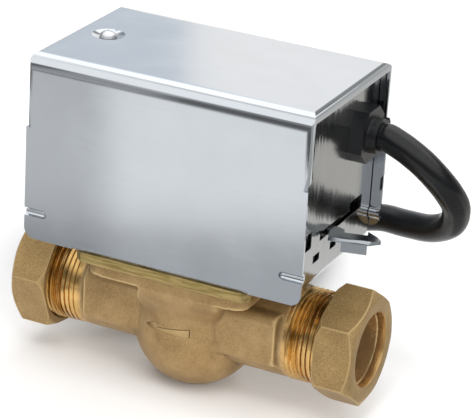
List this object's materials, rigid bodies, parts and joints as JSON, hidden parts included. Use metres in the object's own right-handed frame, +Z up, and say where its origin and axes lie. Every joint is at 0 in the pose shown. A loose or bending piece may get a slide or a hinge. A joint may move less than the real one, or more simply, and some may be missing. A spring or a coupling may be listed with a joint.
{
  "type": "motorised zone valve",
  "caption": "Two-port zone valve: brass body with compression ports, a swinging ball inside and a motor head under a folded zinc cover, with a manual lever and a flying lead.",
  "frame": {"origin": "on the pipe axis, midway between the two ports, at the centre of the valve bowl", "axes": "+X along the pipe towards the port under the cable gland, +Y to the back of the head, +Z up from the pipe to the cover"},
  "size_m": [0.1736, 0.1661, 0.105],
  "materials": {
    "cast_brass": "sand cast, blasted",
    "turned_brass": "turned, bright",
    "zinc_sheet": "bright zinc plate",
    "yellow_zinc": "yellow passivated zinc",
    "plain_steel": "plain steel",
    "lever_steel": "dull zinc",
    "black_nylon": "moulded",
    "cable_pvc": "smooth sheath",
    "seal_rubber": "moulded",
    "core_insulation": "coloured insulation",
    "button_red": "moulded"
  },
  "bodies": {
    "housing": {"valve_body": "cast_brass", "bonnet_plate": "yellow_zinc", "bonnet_seal": "seal_rubber", "bonnet_screws": "yellow_zinc", "stem_bush": "turned_brass", "base_frame": "zinc_sheet", "head_screws": "zinc_sheet", "cover": "zinc_sheet", "cover_screw": "zinc_sheet", "return_spring": "plain_steel", "spring_post": "plain_steel", "bridge_pillars": "plain_steel", "bridge_plate": "zinc_sheet", "bridge_screws": "zinc_sheet", "motor_gear_case": "zinc_sheet", "motor_can": "plain_steel", "motor_screws": "zinc_sheet", "end_switch": "black_nylon", "switch_screws": "zinc_sheet", "earth_screw": "turned_brass", "cable_gland": "black_nylon", "cable_tail": "cable_pvc", "inner_leads": "core_insulation", "cable_lead": "cable_pvc", "cable_coil": "cable_pvc", "coil_tie": "black_nylon", "core_ends": "core_insulation"},
    "drive": {"valve_stem": "plain_steel", "stem_seals": "seal_rubber", "paddle_crank": "turned_brass", "paddle_ball": "seal_rubber", "drive_sector": "plain_steel", "lever_pin": "plain_steel", "stem_clip": "plain_steel"},
    "lever": {"manual_lever": "lever_steel"},
    "pinion": {"motor_pinion": "turned_brass"},
    "button": {"switch_button": "button_red"},
    "right_olive_ring": {"right_olive": "turned_brass"},
    "right_nut": {"right_compression_nut": "cast_brass"},
    "left_olive_ring": {"left_olive": "turned_brass"},
    "left_nut": {"left_compression_nut": "cast_brass"}
  },
  "joints": [
    {"name": "stem_turn", "type": "hinge", "parent": "housing", "child": "drive", "pos_m": [0, 0.011, 0.02], "axis": [0, 0, 1], "range_deg": [0, 32.73], "stiffness_Nm_per_rad": 0.05, "springref_deg": -17.19, "deforming": ["return_spring"]},
    {"name": "lever_slide", "type": "slide", "parent": "housing", "child": "lever", "axis": [0, 1, 0], "range_m": [0, 0.0202]},
    {"name": "pinion_turn", "type": "hinge", "parent": "housing", "child": "pinion", "pos_m": [-0.02932, 0.00033, 0.03], "axis": [0, 0, 1], "range_deg": [-180.1, 0]},
    {"name": "button_press", "type": "slide", "parent": "housing", "child": "button", "axis": [0.4226, -0.9063, 0], "range_m": [0, 0.00081]},
    {"name": "right_nut_advance", "type": "slide", "parent": "housing", "child": "right_olive_ring", "axis": [1, 0, 0], "range_m": [0, 0.003]},
    {"name": "right_nut_turn", "type": "hinge", "parent": "right_olive_ring", "child": "right_nut", "pos_m": [0.0508, 0, 0], "axis": [1, 0, 0], "range_deg": [0, 720.5]},
    {"name": "left_nut_advance", "type": "slide", "parent": "housing", "child": "left_olive_ring", "axis": [-1, 0, 0], "range_m": [0, 0.003]},
    {"name": "left_nut_turn", "type": "hinge", "parent": "left_olive_ring", "child": "left_nut", "pos_m": [-0.0508, 0, 0], "axis": [-1, 0, 0], "range_deg": [0, 720.5]}
  ],
  "couplings": [
    {"joint": "lever_slide", "follows": "stem_turn", "m_per_rad": 0.03535},
    {"joint": "pinion_turn", "follows": "stem_turn", "ratio": -5.5},
    {"joint": "button_press", "follows": "stem_turn", "m_per_rad": 0.0014006},
    {"joint": "right_nut_turn", "follows": "right_nut_advance", "rad_per_m": 4188.8},
    {"joint": "left_nut_turn", "follows": "left_nut_advance", "rad_per_m": 4188.8}
  ]
}
